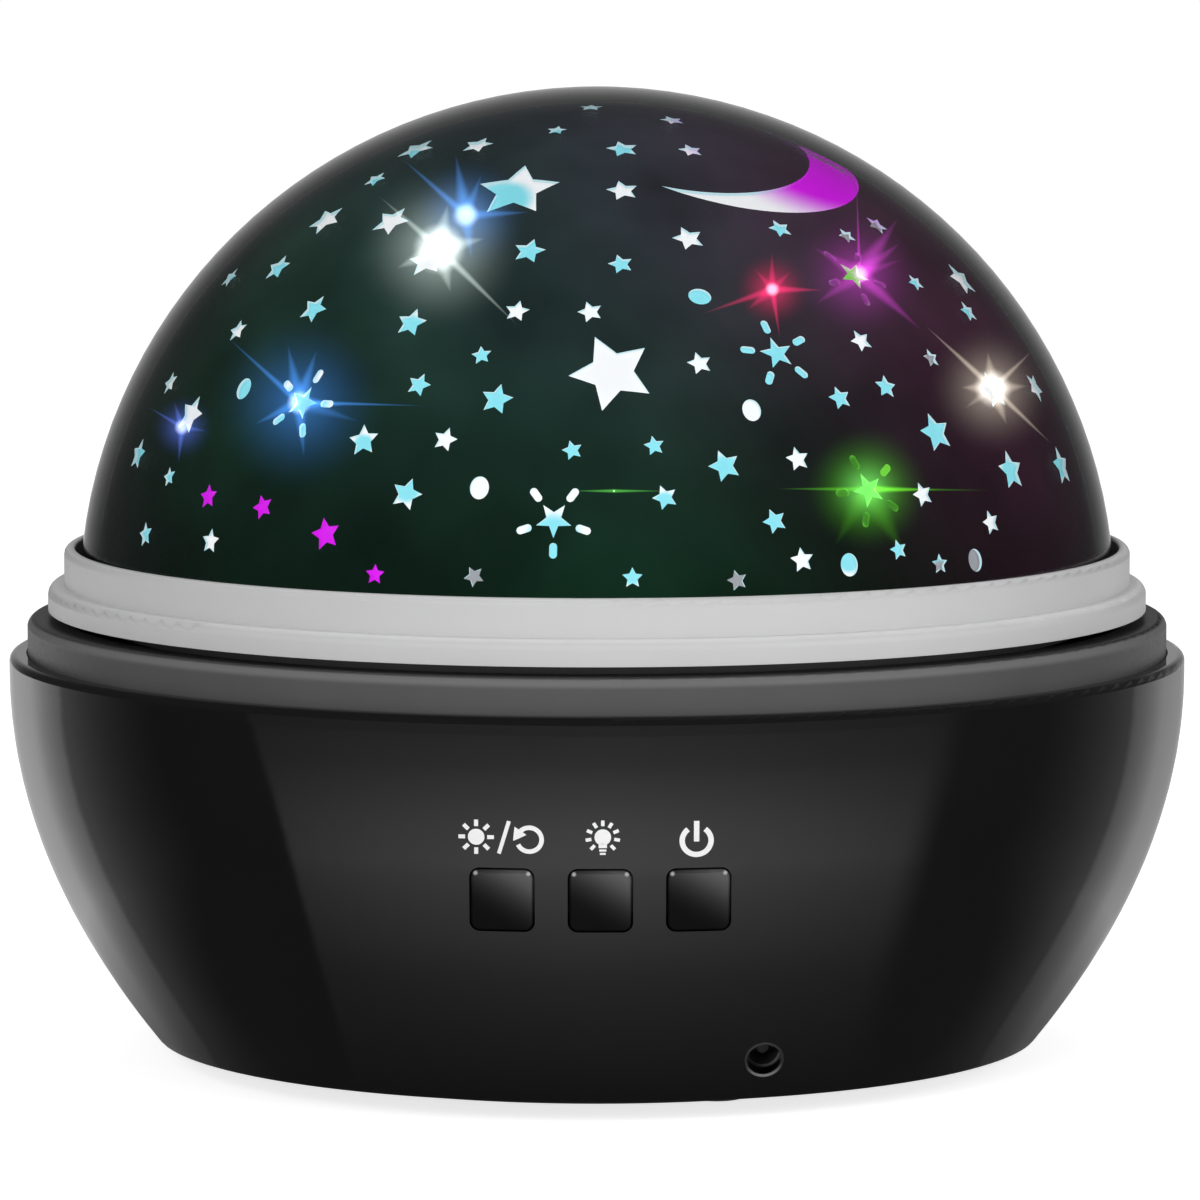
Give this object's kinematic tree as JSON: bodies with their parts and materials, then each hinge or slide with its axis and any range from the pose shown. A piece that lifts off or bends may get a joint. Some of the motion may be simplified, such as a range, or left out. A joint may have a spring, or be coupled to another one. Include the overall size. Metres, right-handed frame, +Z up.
{
  "type": "projector lamp",
  "caption": "Round star projector night lamp: dark bowl base with push buttons and a power socket, grey turning ring, and a clear dome over a star-cut film that lifts off.",
  "frame": {"origin": "middle of the footprint on the surface the feet stand on", "axes": "+Z up along the turning axis, -Y towards the front with the buttons, +X to the right seen from the front"},
  "size_m": [0.13, 0.13, 0.1074],
  "materials": {
    "bowl_black": "gloss",
    "button_black": "gloss",
    "cover_grey": "satin",
    "ring_grey": "satin",
    "inner_white": "satin",
    "gear_white": "satin",
    "dome_clear": "clear gloss",
    "film_dark": "gloss",
    "film_colour": "milky",
    "rubber_black": "matt",
    "board_green": "satin",
    "chip_black": "matt",
    "cell_case": "satin",
    "nickel": "bright",
    "steel": "zinc plated",
    "motor_case": "satin",
    "wire": "satin",
    "lamp_white": "clear gloss",
    "lamp_blue": "clear gloss",
    "lamp_green": "clear gloss",
    "lamp_red": "clear gloss"
  },
  "bodies": {
    "base": {"base_bowl": "bowl_black", "top_cover": "cover_grey", "battery_cells": "cell_case", "contact_plates": "nickel", "contact_leaves": "nickel", "tact_switches": "chip_black", "main_board": "board_green", "control_chip": "chip_black", "power_socket": "chip_black", "socket_pin": "nickel", "gear_motor": "motor_case", "motor_screws": "steel", "light_tower": "inner_white", "thrust_washer": "gear_white", "lamp_board": "board_green", "lamp_board_screws": "steel", "led_white": "lamp_white", "led_blue": "lamp_blue", "led_green": "lamp_green", "led_red": "lamp_red", "rubber_feet": "rubber_black", "case_screws": "steel", "led_leads": "wire", "motor_leads": "wire", "socket_leads": "wire", "battery_leads": "wire"},
    "turntable": {"turntable": "inner_white", "turntable_gear": "gear_white", "turn_ring": "ring_grey", "ring_screws": "steel"},
    "pinion": {"drive_pinion": "gear_white", "motor_shaft": "steel"},
    "dome": {"dome_shell": "dome_clear", "star_mask": "film_dark", "colour_film": "film_colour"},
    "battery_door": {"battery_door": "bowl_black", "door_screws": "steel"},
    "button_rotate": {"button_rotate": "button_black", "plunger_rotate": "chip_black"},
    "button_colour": {"button_colour": "button_black", "plunger_colour": "chip_black"},
    "button_power": {"button_power": "button_black", "plunger_power": "chip_black"}
  },
  "joints": [
    {"name": "turntable_spin", "type": "hinge", "parent": "base", "child": "turntable", "pos_m": [0, 0, 0.048], "axis": [0, 0, 1], "continuous": true},
    {"name": "motor_spin", "type": "hinge", "parent": "base", "child": "pinion", "pos_m": [0, 0.032, 0.046], "axis": [0, 0, 1], "continuous": true},
    {"name": "dome_lift", "type": "slide", "parent": "turntable", "child": "dome", "axis": [0, 0, 1], "range_m": [0, 0.06]},
    {"name": "battery_door_off", "type": "slide", "parent": "base", "child": "battery_door", "axis": [0, 0, -1], "range_m": [0, 0.02]},
    {"name": "rotate_press", "type": "slide", "parent": "base", "child": "button_rotate", "axis": [0, 1, 0], "range_m": [0, 0.0005], "stiffness_N_per_m": 500},
    {"name": "colour_press", "type": "slide", "parent": "base", "child": "button_colour", "axis": [0, 1, 0], "range_m": [0, 0.0005], "stiffness_N_per_m": 500},
    {"name": "power_press", "type": "slide", "parent": "base", "child": "button_power", "axis": [0, 1, 0], "range_m": [0, 0.0005], "stiffness_N_per_m": 500}
  ],
  "couplings": [
    {"joint": "motor_spin", "follows": "turntable_spin", "ratio": -3}
  ]
}
